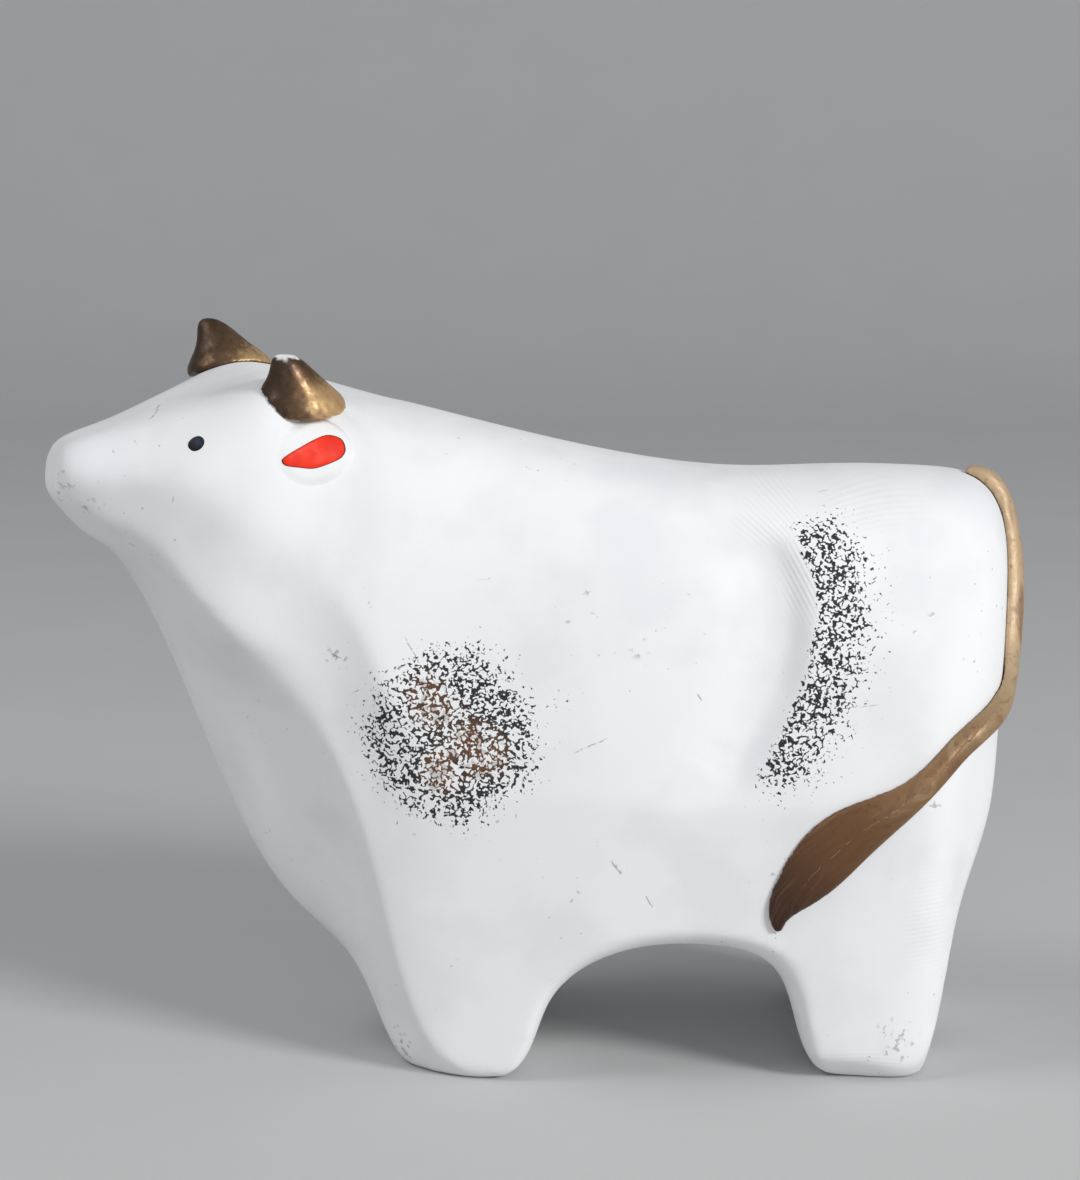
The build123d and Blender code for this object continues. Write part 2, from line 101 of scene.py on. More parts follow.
# The tail's middle line, in mm
TAIL_LINE = [
    (78, 0, 108),
    (83.5, -1, 102.5),
    (86, -2.4, 92),
    (86, -5.1, 82),
    (85, -10, 74),
    (81, -19.7, 67.5),
    (74, -29, 61.8),
    (68, -34, 55.6),
    (62, -34, 51.4),
    (56.5, -34, 48),
    (50, -34, 42),
    (44.2, -34, 34.8),
    (42.5, -34, 29),
]

# Paint colours, linear
PLASTER_WHITE = (0.885, 0.892, 0.90, 1)
PLASTER_DULL = (0.82, 0.832, 0.845, 1)
SPECK_GREY = (0.26, 0.26, 0.27, 1)
STIPPLE_BLACK = (0.010, 0.010, 0.012, 1)
STIPPLE_BROWN = (0.12, 0.048, 0.014, 1)
# Dark bronze: the paint's own dark grain, and painted shade on the horns' left sides and low on horns and
# tail near the body
BRONZE_DARK = (0.060, 0.035, 0.020, 1)
HORN_BROWN = (0.150, 0.085, 0.042, 1)
# Gold: the gold speckles of the paint, and a painted highlight on the horns' right, lower sides
HORN_GOLD_HIGHLIGHT = (0.60, 0.385, 0.185, 1)
TAIL_TAN = (0.52, 0.375, 0.225, 1)
TAIL_BROWN = (0.25, 0.140, 0.062, 1)
TUFT_BROWN = (0.15, 0.066, 0.024, 1)
TUFT_DARK = (0.036, 0.010, 0.004, 1)
ENAMEL_RED = (0.93, 0.036, 0.008, 1)
ENAMEL_RED_DEEP = (0.84, 0.024, 0.006, 1)
ENAMEL_RIM = (0.07, 0.010, 0.010, 1)
EYE_BLACK = (0.006, 0.008, 0.012, 1)
EYE_NAVY = (0.020, 0.033, 0.055, 1)


def smoothstep(low, high, value):
    """0 at low and 1 at high, with soft ends; works on arrays."""
    share = np.clip((value - low) / (high - low), 0, 1)
    return share * share * (3 - 2 * share)


def coordinates(mesh):
    """The vertices of a mesh as an array of rows."""
    flat = np.empty(len(mesh.vertices) * 3)
    mesh.vertices.foreach_get("co", flat)
    return flat.reshape(-1, 3)


def put_coordinates(mesh, places):
    mesh.vertices.foreach_set("co", places.ravel())
    mesh.update()


def add_attribute(mesh, name, values):
    """A number at each vertex, for the material to read."""
    layer = mesh.attributes.new(name, "FLOAT", "POINT")
    layer.data.foreach_set("value", np.asarray(values, dtype=np.float32))


def new_object(name, mesh):
    obj = bpy.data.objects.new(name, mesh)
    bpy.context.scene.collection.objects.link(obj)
    return obj


def with_modifiers(obj):
    """Bakes the modifiers of an object into its mesh."""
    graph = bpy.context.evaluated_depsgraph_get()
    baked = bpy.data.meshes.new_from_object(obj.evaluated_get(graph))
    obj.modifiers.clear()
    obj.data = baked


def shade_smooth(mesh):
    mesh.polygons.foreach_set("use_smooth", np.ones(len(mesh.polygons), dtype=bool))
    mesh.update()


def closed_copy(name, node, seats=(), seat_reach=0.0):
    """A joined-up copy of a CAD node, with small drilled seats closed over."""
    mesh = nodes[node].data.copy()
    mesh.materials.clear()
    work = bmesh.new()
    work.from_mesh(mesh)
    bmesh.ops.remove_doubles(work, verts=work.verts, dist=1e-6)
    inside = []
    for face in work.faces:
        for seat in seats:
            if all((vert.co - seat).length < seat_reach for vert in face.verts):
                inside.append(face)
                break
    bmesh.ops.delete(work, geom=inside, context="FACES")
    bmesh.ops.holes_fill(work, edges=work.edges, sides=0)
    work.to_mesh(mesh)
    work.free()
    return new_object(name, mesh)


def remeshed(obj, voxel, smoothing):
    """An even mesh over an object's form, with its edges softened."""
    remesh = obj.modifiers.new("remesh", "REMESH")
    remesh.mode = "VOXEL"
    remesh.voxel_size = voxel
    smooth = obj.modifiers.new("smooth", "SMOOTH")
    smooth.factor = 0.5
    smooth.iterations = smoothing
    with_modifiers(obj)
    shade_smooth(obj.data)


def smooth_where(obj, weights, iterations):
    """Softens an object's form where the weights ask for it."""
    group = obj.vertex_groups.new(name="soft")
    for index in np.flatnonzero(weights > 0.01):
        group.add([int(index)], float(weights[index]), "REPLACE")
    smooth = obj.modifiers.new("smooth", "SMOOTH")
    smooth.factor = 0.5
    smooth.iterations = iterations
    smooth.vertex_group = "soft"
    with_modifiers(obj)
    obj.vertex_groups.clear()


def middle_of(node):
    low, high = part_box(node)
    return (low + high) / 2


def surface_of(obj):
    """A search tree over an object's faces."""
    work = bmesh.new()
    work.from_mesh(obj.data)
    tree = BVHTree.FromBMesh(work)
    work.free()
    return tree


def noise_at(places, scale, seed):
    """Soft noise from -1 to 1 at each row of places."""
    shift = Vector((seed * 7.31, seed * 3.17, seed * 5.93))
    return np.array([noise.noise(Vector(place) * scale + shift) for place in places])


def from_line(places, points):
    """Distance from each place to a line of points, the side of it in side view, and the share along it."""
    nearest = np.full(len(places), 1e9)
    side = np.zeros(len(places))
    along = np.zeros(len(places))
    points = np.array(points, dtype=float)
    lengths = np.linalg.norm(np.diff(points, axis=0), axis=1)
    starts = np.concatenate([[0], np.cumsum(lengths)])
    for index, length in enumerate(lengths):
        start = points[index]
        run = (points[index + 1] - start) / length
        rel = places - start
        reach = np.clip(rel @ run, 0, length)
        off = np.linalg.norm(rel - reach[:, None] * run, axis=1)
        closer = off < nearest
        cross = run[0] * rel[:, -1] - run[-1] * rel[:, 0]
        side = np.where(closer, np.sign(cross), side)
        along = np.where(closer, (starts[index] + reach) / starts[-1], along)
        nearest = np.where(closer, off, nearest)
    return nearest, side, along


# The skin of the casting
body = closed_copy("body_skin", "body", [middle_of("eye_left"), middle_of("eye_right")], EYE_SEAT_REACH)
remeshed(body, SKIN_VOXEL, SKIN_SMOOTHING)
x, y, z = coordinates(body.data).T / MM
rump_end = smoothstep(66, 80, x) * smoothstep(22, 44, z) * smoothstep(106, 84, z) * smoothstep(33, 16, abs(y))
throat = smoothstep(-88, -74, x) * smoothstep(-34, -44, x) * smoothstep(30, 50, z) * smoothstep(112, 98, z)
smooth_where(body, np.maximum(rump_end, 0.5 * throat), 90)

# The hollow's rear wall, scraped a little steeper along the thigh
places = coordinates(body.data)
x, y, z = places.T / MM
side_view = np.column_stack([x, z])
edge_off, edge_side, edge_along = from_line(side_view, THIGH_EDGE)
before = -edge_off * edge_side
scrape = smoothstep(-1.5, 4.5, before) * smoothstep(18, 6, before)
scrape *= smoothstep(0.0, 0.15, edge_along) * smoothstep(1.0, 0.7, edge_along) * smoothstep(12, 20, abs(y))
places[:, 1] -= np.sign(y) * SCRAPE_DEPTH * scrape
put_coordinates(body.data, places)

# Densities of the paint flecks on the left flank
x, y, z = coordinates(body.data).T / MM
left = smoothstep(-12, -20, y)
flat_view = np.column_stack([x, z, z * 0])
wobble = noise_at(flat_view, 0.11, 3)
round_out = np.hypot(x - SHOULDER_PATCH[0], z - SHOULDER_PATCH[1]) / SHOULDER_RADIUS + 0.09 * wobble
shoulder = 1 - smoothstep(0.50, 1.08, round_out)
trail_out = np.hypot((x - SHOULDER_TRAIL[0]) / 8.0, (z - SHOULDER_TRAIL[1]) / 6.5)
trail = 0.26 * (1 - smoothstep(0.3, 1.1, trail_out))
behind = edge_off * edge_side + 0.7 * wobble
thigh_width = 10.0 + 7.0 * np.sin(np.pi * np.clip(0.25 + 0.65 * edge_along, 0, 1))
thigh = smoothstep(-1.0, 1.2, behind) * (1 - smoothstep(0.10, 1.10, behind / thigh_width))
thigh *= smoothstep(0.0, 0.10, edge_along) * smoothstep(1.0, 0.72, edge_along)
density = np.maximum(np.maximum(shoulder, trail), thigh) * left
brown = np.zeros(len(x))
for (cx, cz), radius in BROWN_SPOTS:
    spot_out = np.hypot(x - cx, z - cz) / radius + 0.3 * wobble
    brown = np.maximum(brown, (1 - smoothstep(0.45, 1.1, spot_out)) * left)
add_attribute(body.data, "fleck_density", density)
add_attribute(body.data, "fleck_brown", brown)

# Worn places: muzzle, feet and a few rubbed spots
WORN = [
    # middle x and z, radius, strength
    ((-83.5, 108.5), 5.0, 0.4),
    ((-79.5, 105.5), 3.5, 0.35),
    ((17.6, 80.2), 2.6, 0.55),
    ((8.8, 89.2), 1.8, 0.5),
    ((14.3, 40.3), 2.4, 0.5),
    ((-36.0, 78.0), 3.5, 0.5),
    ((64.0, 8.0), 6.0, 0.6),
    ((-26.0, 5.0), 6.0, 0.5),
    ((70.0, 52.0), 3.0, 0.5),
]
worn = np.zeros(len(x))
for (cx, cz), radius, strength in WORN:
    worn = np.maximum(worn, strength * (1 - smoothstep(0.2, 1.0, np.hypot(x - cx, z - cz) / radius)))
add_attribute(body.data, "worn", worn * smoothstep(-2, -10, y))

# Chatter marks that the scraper left in the plaster
CHATTER_PITCH = 0.85
CHATTER = [
    # middle x and z, radii along x and z, direction of the marks in degrees, sharpness
    ((40.5, 103.0), (9.0, 7.0), -42, 1.0),
    ((60.0, 103.5), (13.0, 6.0), 8, 0.6),
    ((47.0, 93.0), (5.0, 11.0), -62, 0.8),
    ((69.5, 30.0), (6.5, 15.0), 2, 0.35),
    ((58.0, 4.0), (8.0, 3.5), 0, 0.35),
    ((3.2, 20.5), (4.0, 3.0), 35, 0.9),
    ((-14.0, 100.0), (16.0, 9.0), 14, 0.2),
]
phase = np.zeros(len(x))
depth = np.zeros(len(x))
for (cx, cz), (rx, rz), heading, sharp in CHATTER:
    reach = np.hypot((x - cx) / rx, (z - cz) / rz)
    strength = sharp * (1 - smoothstep(0.4, 1.0, reach))
    across = -(x - cx) * sin(radians(heading)) + (z - cz) * cos(radians(heading)) + 0.012 * (x - cx) ** 2
    phase = np.where(strength > depth, 2 * np.pi * across / CHATTER_PITCH, phase)
    depth = np.maximum(depth, strength)
add_attribute(body.data, "chatter_phase", phase)
add_attribute(body.data, "chatter_depth", depth * smoothstep(2, -12, y))
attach(body, "root")
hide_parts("body")
skin = surface_of(body)

# Pads laid on a surface: ears, enamel drops and eyes
RINGS = 22
SPOKES = 72
RAY_START = 8 * MM


def laid_pad(name, node, ground, middle, axes, outline, height, sink):
    """A closed pad on a surface, its outline laid on along the third axis, with a height by place."""
    across, upward, inward = axes
    tops = []
    shares = []
    for ring in range(RINGS + 1):
        share = ring / RINGS
        for spoke in range(1 if ring == 0 else SPOKES):
            angle = 2 * pi * spoke / SPOKES
            u, v = outline(angle)
            start = middle + across * (u * share) + upward * (v * share) - inward * RAY_START
            hit, hit_normal, _, _ = ground.ray_cast(start, inward)
            tops.append((hit, hit_normal, height(share, angle)))
            shares.append(share)
    count = len(tops)
    verts = [hit + hit_normal * rise for hit, hit_normal, rise in tops]
    verts += [hit - hit_normal * sink for hit, hit_normal, _ in tops]
    faces = []
    for spoke in range(SPOKES):
        after = (spoke + 1) % SPOKES
        faces.append((0, 1 + spoke, 1 + after))
        for ring in range(1, RINGS):
            inner = 1 + (ring - 1) * SPOKES
            outer = inner + SPOKES
            faces.append((inner + spoke, outer + spoke, outer + after, inner + after))
    unders = [tuple(count + index for index in reversed(face)) for face in faces]
    rim = 1 + (RINGS - 1) * SPOKES
    walls = []
    for spoke in range(SPOKES):
        after = (spoke + 1) % SPOKES
        walls.append((rim + after, rim + spoke, count + rim + spoke, count + rim + after))
    mesh = bpy.data.meshes.new(name)
    mesh.from_pydata([tuple(vert) for vert in verts], [], faces + unders + walls)
    work = bmesh.new()
    work.from_mesh(mesh)
    bmesh.ops.recalc_face_normals(work, faces=work.faces)
    work.to_mesh(mesh)
    work.free()
    shade_smooth(mesh)
    mesh.set_sharp_from_angle(angle=radians(50))
    add_attribute(mesh, "rim", shares + [1.0] * count)
    pad = new_object(name, mesh)
    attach(pad, "root")
    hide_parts(node)
    return pad


def ellipse(length, width):
    return lambda angle: (length / 2 * cos(angle) * MM, width / 2 * sin(angle) * MM)


def through_points(points):
    """A closed smooth outline through points, as a function of the angle."""
    count = len(points)
    rows = np.array(points) * MM

    def place(angle):
        share = angle / (2 * pi) * count
        index = int(share) % count
        t = share - int(share)
        p0, p1, p2, p3 = (rows[(index + step) % count] for step in (-1, 0, 1, 2))
        square = 2 * p0 - 5 * p1 + 4 * p2 - p3
        cube = 3 * p1 - p0 - 3 * p2 + p3
        return tuple(0.5 * (2 * p1 + (p2 - p0) * t + square * t**2 + cube * t**3))

    return place


# Outlines round their middles, in mm: the left ear's enamel drop seen from the side, and an eye
DROP_OUTLINE = [
    (5.3, 0.6),
    (4.6, 2.4),
    (2.7, 3.1),
    (0.9, 2.7),
    (-2.2, 0.9),
    (-4.9, -0.9),
    (-5.5, -1.7),
    (-4.8, -2.5),
    (-2.6, -2.8),
    (0.0, -2.9),
    (2.6, -2.0),
    (4.6, -0.9),
]
EYE_OUTLINE = [
    (1.55, 0.0),
    (1.10, 1.08),
    (0.0, 1.50),
    (-1.12, 1.05),
    (-1.50, 0.05),
    (-1.05, -1.12),
    (0.05, -1.52),
    (1.12, -1.05),
]
EAR_SIZE = (17.0, 12.6)
EAR_HEIGHT = 1.25
EAR_SETBACK = 0.9 * MM
EAR_TILT = 16.0
EAR_FIRM = radians(5)
sideways = Vector((-sin(radians(HEAD_TURN)), cos(radians(HEAD_TURN)), 0))
backward = Vector((cos(radians(HEAD_TURN)), sin(radians(HEAD_TURN)), 0))
ear_along = backward * cos(radians(EAR_TILT)) + Vector((0, 0, sin(radians(EAR_TILT))))


def to_other_side(direction):
    """A direction mirrored about the head's middle plane."""
    return direction - sideways * (2 * direction.dot(sideways))


def on_surface(middle, along_hint, side):
    """Axes on the skin near a place: along it, up it and into it."""
    normal = skin.find_nearest(middle)[1]
    along = (along_hint - normal * along_hint.dot(normal)).normalized()
    return along, normal.cross(along) * side, -normal


def ear_height(share, angle):
    """A soft plateau, firmer at the back edge, that fades into the cheek in front."""
    loss = 0.75 * share * (1 - float(smoothstep(-0.9, 0.2, cos(angle - EAR_FIRM))))
    return (EAR_HEIGHT * (1 - loss) * (1 - float(smoothstep(0.70, 1.0, share))) - 0.08) * MM


for side, hand in ((1, "left"), (-1, "right")):
    drop_middle = middle_of("ear_drop_" + hand)
    ear_axes = on_surface(drop_middle, ear_along, side)
    ear = laid_pad(
        "ear_pad_" + hand,
        "ear_" + hand,
        skin,
        drop_middle + ear_axes[0] * EAR_SETBACK,
        ear_axes,
        ellipse(*EAR_SIZE),
        ear_height,
        0.6 * MM,
    )
    look_in = Vector((0, cos(radians(CAMERA_PITCH)), -sin(radians(CAMERA_PITCH))))
    drop_along = Vector((1, 0, 0))
    if side < 0:
        look_in = to_other_side(look_in)
        drop_along = to_other_side(drop_along)
    drop_up = Vector((0, 0, 1))
    drop_up = (drop_up - look_in * drop_up.dot(look_in)).normalized()
    drop = laid_pad(
        "ear_enamel_" + hand,
        "ear_drop_" + hand,
        surface_of(ear),
        drop_middle,
        (drop_along, drop_up, look_in),
        through_points(DROP_OUTLINE),
        lambda share, angle: (0.20 * (1 - share**8) + 0.02) * MM,
        0.3 * MM,
    )
    eye_middle = middle_of("eye_" + hand)
    eye = laid_pad(
        "eye_enamel_" + hand,
        "eye_" + hand,
        skin,
        eye_middle,
        on_surface(eye_middle, ear_along, side),
        through_points(EYE_OUTLINE),
        lambda share, angle: (0.30 * (1 - share**3) + 0.03) * MM,
        0.5 * MM,
    )

# Horns, hand-shaped cones with a flared skirt
for hand, seed in (("left", 5), ("right", 9)):
    horn = closed_copy("horn_skin_" + hand, "horn_" + hand)
    remeshed(horn, HORN_VOXEL, 5)
    places = coordinates(horn.data)
    top = places[:, 2].max()
    outward = places - places.mean(axis=0)
    outward[:, 2] *= 0.4
    outward /= np.linalg.norm(outward, axis=1)[:, None]
    skirt = smoothstep(top - 4 * MM, top - 11 * MM, places[:, 2])
    lumps = 0.26 * noise_at(places / MM, 0.26, seed) + 0.10 * noise_at(places / MM, 0.8, seed + 1)
    places = places + outward * ((lumps * (0.4 + 0.6 * skirt)) * MM)[:, None]
    below_top = (top - places[:, 2]) / MM
    rough = noise_at(places / MM, 0.9, seed + 2)
    if hand == "left":
        chip = smoothstep(1.25, 0.55, below_top + 1.1 * rough)
        places[:, 2] -= 0.5 * MM * smoothstep(0.9, 0.0, below_top) * (1 + 0.6 * rough)
    else:
        chip = np.zeros(len(places))
    put_coordinates(horn.data, places)
    shade_smooth(horn.data)
    # Height above the body's skin, used for painted shade at the horn's base
    rise = np.array([skin.find_nearest(Vector(place))[3] for place in places]) / MM
    # Painted light on each horn: gold as a painted highlight towards its right, lower side, dark bronze as
    # painted shade on its left side
    out_x = (places[:, 0] - places[:, 0].mean()) / np.ptp(places[:, 0])
    gold = smoothstep(-0.30, 0.42, out_x) * (0.35 + 0.65 * smoothstep(2.0, 8.0, below_top))
    add_attribute(horn.data, "gold", gold)
    add_attribute(horn.data, "chip", chip)
    add_attribute(horn.data, "rise", rise)
    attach(horn, "root")
    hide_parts("horn_" + hand)

# Tail
tail = closed_copy("tail_skin", "tail")
remeshed(tail, TAIL_VOXEL, 4)
places = coordinates(tail.data)
# Height above the body's skin, used for painted shade where the tail lies close to it
rise = np.array([skin.find_nearest(Vector(place))[3] for place in places]) / MM
tail_off, tail_side, tail_along = from_line(places / MM, TAIL_LINE)
add_attribute(tail.data, "rise", rise)
add_attribute(tail.data, "along", tail_along)
add_attribute(tail.data, "across", tail_off * tail_side)
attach(tail, "root")
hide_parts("tail")


class Paint:
    """A node material, with short ways to add nodes to it."""

    def __init__(self, name):
        self.material = bpy.data.materials.new(name)
        self.material.use_nodes = True
        self.tree = self.material.node_tree
        self.shader = self.tree.nodes["Principled BSDF"]
        self.place = self.add("ShaderNodeTexCoord").outputs["Object"]

    def add(self, kind):
        return self.tree.nodes.new(kind)

    def put(self, value, socket):
        if isinstance(value, bpy.types.NodeSocket):
            self.tree.links.new(value, socket)
        else:
            socket.default_value = value

    def attribute(self, name):
        node = self.add("ShaderNodeAttribute")
        node.attribute_name = name
        return node.outputs["Fac"]

    def math(self, operation, a, b=0.0):
        node = self.add("ShaderNodeMath")
        node.operation = operation
        self.put(a, node.inputs[0])
        self.put(b, node.inputs[1])
        return node.outputs[0]

    def vector(self, a, b):
        node = self.add("ShaderNodeCombineXYZ")
        self.put(a, node.inputs[0])
        self.put(b, node.inputs[1])
        return node.outputs[0]

    def noise(self, scale, detail=2.0, distortion=0.0, place=None):
        node = self.add("ShaderNodeTexNoise")
        node.inputs["Scale"].default_value = scale
        node.inputs["Detail"].default_value = detail
        node.inputs["Distortion"].default_value = distortion
        self.put(place or self.place, node.inputs["Vector"])
        return node.outputs["Fac"]

    def local(self, place, rotation, size):
        """Coordinates in a turned box of a given size at a place, one by one."""
        node = self.add("ShaderNodeMapping")
        node.vector_type = "TEXTURE"
        node.inputs["Location"].default_value = place
        node.inputs["Rotation"].default_value = rotation
        node.inputs["Scale"].default_value = size
        self.put(self.place, node.inputs["Vector"])
        split = self.add("ShaderNodeSeparateXYZ")
        self.put(node.outputs["Vector"], split.inputs[0])
        return split.outputs

    def ramp(self, value, low, high, to_low=0.0, to_high=1.0):
        node = self.add("ShaderNodeMapRange")
        node.interpolation_type = "SMOOTHSTEP"
        self.put(value, node.inputs["Value"])
        self.put(low, node.inputs["From Min"])
        self.put(high, node.inputs["From Max"])
        self.put(to_low, node.inputs["To Min"])
        self.put(to_high, node.inputs["To Max"])
        return node.outputs["Result"]

    def mix(self, share, a, b):
        node = self.add("ShaderNodeMix")
        node.data_type = "RGBA"
        self.put(share, node.inputs["Factor"])
        self.put(a, node.inputs["A"])
        self.put(b, node.inputs["B"])
        return node.outputs["Result"]

    def bump(self, height, strength, distance):
        node = self.add("ShaderNodeBump")
        node.inputs["Strength"].default_value = strength
        node.inputs["Distance"].default_value = distance
        self.put(height, node.inputs["Height"])
        self.put(node.outputs["Normal"], self.shader.inputs["Normal"])

    def set(self, name, value):
        self.put(value, self.shader.inputs[name])


# Single scratches on the left side: middle x and z in mm, direction in degrees, length and width
SCRATCHES = [
    (-68.0, 121.6, 60, 4.8, 0.30),
    (-36.5, 78.8, -28, 3.4, 0.26),
    (-22.5, 79.5, -62, 7.0, 0.16),
    (13.5, 41.0, -50, 3.2, 0.24),
    (9.0, 63.0, 25, 7.5, 0.20),
    (-33.0, 72.0, 30, 4.0, 0.16),
    (28.3, 71.2, -70, 2.0, 0.22),
    (56.0, 70.0, 4, 9.0, 0.14),
    (52.0, 106.0, 6, 5.0, 0.16),
    (-10.0, 92.0, 12, 3.0, 0.18),
    (19.5, 34.5, -60, 3.0, 0.20),
]


def plaster_paint(name, painted):
    """Matt white on plaster: clouding, pits, specks and scratches, with the flecks where painted."""
    paint = Paint(name)
    cloud = paint.ramp(paint.noise(55, 3), 0.42, 0.68)
    colour = paint.mix(cloud, PLASTER_WHITE, PLASTER_DULL)
    specks = paint.ramp(paint.noise(820, 1), 0.735, 0.775)
    specks = paint.math("MULTIPLY", specks, paint.ramp(paint.noise(42, 1), 0.52, 0.62, 0.0, 0.45))
    colour = paint.mix(specks, colour, SPECK_GREY)
    height = paint.math("ADD", paint.math("MULTIPLY", paint.noise(1500, 3), 0.35), paint.noise(140, 2))
    if painted:
        worn = paint.attribute("worn")
        rubbed = paint.math("ADD", paint.noise(760, 3, 0.4), paint.math("MULTIPLY", worn, 0.16))
        rubbed = paint.math("MULTIPLY", paint.ramp(rubbed, 0.63, 0.72), paint.ramp(worn, 0.0, 0.4, 0.0, 0.55))
        colour = paint.mix(rubbed, colour, SPECK_GREY)
        bend = paint.ramp(paint.noise(420, 1), 0.3, 0.7, -0.6, 0.6)
        gaps = paint.ramp(paint.noise(900, 1), 0.40, 0.55, 0.1, 0.7)
        for sx, sz, heading, length, width in SCRATCHES:
            box = (length / 2 * MM, 14 * MM, width * MM)
            spot = paint.local((sx * MM, -28 * MM, sz * MM), (0, radians(-heading), 0), box)
            line = paint.ramp(paint.math("ABSOLUTE", paint.math("ADD", spot[2], bend)), 0.25, 0.8, 1.0, 0.0)
            ends = paint.ramp(paint.math("ABSOLUTE", spot[0]), 0.55, 1.0, 1.0, 0.0)
            inside = paint.ramp(paint.math("ABSOLUTE", spot[1]), 0.9, 1.0, 1.0, 0.0)
            line = paint.math("MULTIPLY", line, ends)
            line = paint.math("MULTIPLY", line, paint.math("MULTIPLY", inside, gaps))
            colour = paint.mix(line, colour, SPECK_GREY)
            height = paint.math("SUBTRACT", height, paint.math("MULTIPLY", line, 0.8))
        density = paint.attribute("fleck_density")
        worms = paint.math("ABSOLUTE", paint.math("SUBTRACT", paint.noise(880, 1.0, 0.35), 0.5))
        thin = paint.ramp(density, 0.2, 1.0, 0.030, 0.074)
        lines = paint.ramp(worms, thin, paint.math("ADD", thin, 0.022), 1.0, 0.0)
        limit = paint.ramp(density, 0.0, 1.0, 0.74, 0.41)
        islands = paint.ramp(paint.math("SUBTRACT", paint.noise(1350, 1.0, 0.2), limit), -0.02, 0.03)
        fleck = paint.math("MULTIPLY", islands, lines)
        fleck = paint.math("MULTIPLY", fleck, paint.ramp(density, 0.0, 0.22, 0.0, 0.98))
        brown = paint.attribute("fleck_brown")
        rust = paint.math("MULTIPLY", brown, paint.ramp(paint.noise(300, 2), 0.30, 0.50))
        stain = paint.ramp(paint.noise(700, 2), 0.48, 0.64, 0.0, 0.4)
        stain = paint.math("MULTIPLY", paint.ramp(brown, 0.1, 1.0), stain)
        colour = paint.mix(stain, colour, STIPPLE_BROWN)
        colour = paint.mix(fleck, colour, paint.mix(rust, STIPPLE_BLACK, STIPPLE_BROWN))
        waves = paint.math("SINE", paint.attribute("chatter_phase"))
        waves = paint.math("MULTIPLY", waves, paint.attribute("chatter_depth"))
        height = paint.math("ADD", height, paint.math("MULTIPLY", waves, 0.60))
        height = paint.math("ADD", height, paint.math("MULTIPLY", fleck, 0.25))
    paint.set("Base Color", colour)
    paint.set("Roughness", 0.72)
    paint.set("Specular IOR Level", 0.3)
    paint.bump(height, 0.4, 0.12 * MM)
    return paint.material


def tail_paint(name):
    """Brushed bronze paint, tan at the root and darker to the tuft, with strokes along the tail and painted
    shade where it lies close to the body.
    """
    paint = Paint(name)
    along = paint.attribute("along")
    across = paint.math("MULTIPLY", paint.attribute("across"), 1.3)
    strokes = paint.noise(1.0, 4, 0.3, paint.vector(paint.math("MULTIPLY", along, 9.0), across))
    grain = paint.noise(900, 3, 0.3)
    colour = paint.mix(paint.ramp(along, 0.36, 0.62), TAIL_TAN, TAIL_BROWN)
    colour = paint.mix(paint.ramp(along, 0.66, 0.80), colour, TUFT_BROWN)
    colour = paint.mix(paint.ramp(along, 0.80, 1.0), colour, TUFT_DARK)
    lighter = paint.ramp(strokes, 0.52, 0.70, 0.0, 0.6)
    lighter = paint.math("MULTIPLY", lighter, paint.ramp(along, 0.62, 0.85, 0.75, 0.10))
    colour = paint.mix(lighter, colour, TAIL_TAN)
    streak = paint.ramp(paint.math("ABSOLUTE", paint.math("ADD", across, -0.5)), 0.1, 1.5, 0.8, 0.0)
    streak = paint.math("MULTIPLY", streak, paint.ramp(along, 0.60, 0.70))
    streak = paint.math("MULTIPLY", streak, paint.ramp(along, 0.82, 0.93, 1.0, 0.0))
    streak = paint.math("MULTIPLY", streak, paint.ramp(grain, 0.42, 0.58))
    colour = paint.mix(streak, colour, TAIL_TAN)
    colour = paint.mix(paint.ramp(strokes, 0.30, 0.48, 0.6, 0.0), colour, TUFT_BROWN)
    colour = paint.mix(paint.ramp(grain, 0.58, 0.72, 0.0, 0.35), colour, BRONZE_DARK)
    # Painted shade: dark bronze low on the tail, close to the body
    low = paint.math("ADD", paint.attribute("rise"), paint.math("MULTIPLY", grain, 0.35))
    colour = paint.mix(paint.ramp(low, 0.22, 0.60, 0.9, 0.0), colour, BRONZE_DARK)
    paint.set("Base Color", colour)
    paint.set("Metallic", paint.ramp(strokes, 0.3, 0.7, 0.15, 0.40))
    paint.set("Roughness", paint.ramp(grain, 0.3, 0.75, 0.58, 0.42))
    height = paint.math("ADD", paint.math("MULTIPLY", strokes, 1.2), paint.math("MULTIPLY", grain, 0.5))
    paint.bump(height, 0.5, 0.25 * MM)
    return paint.material


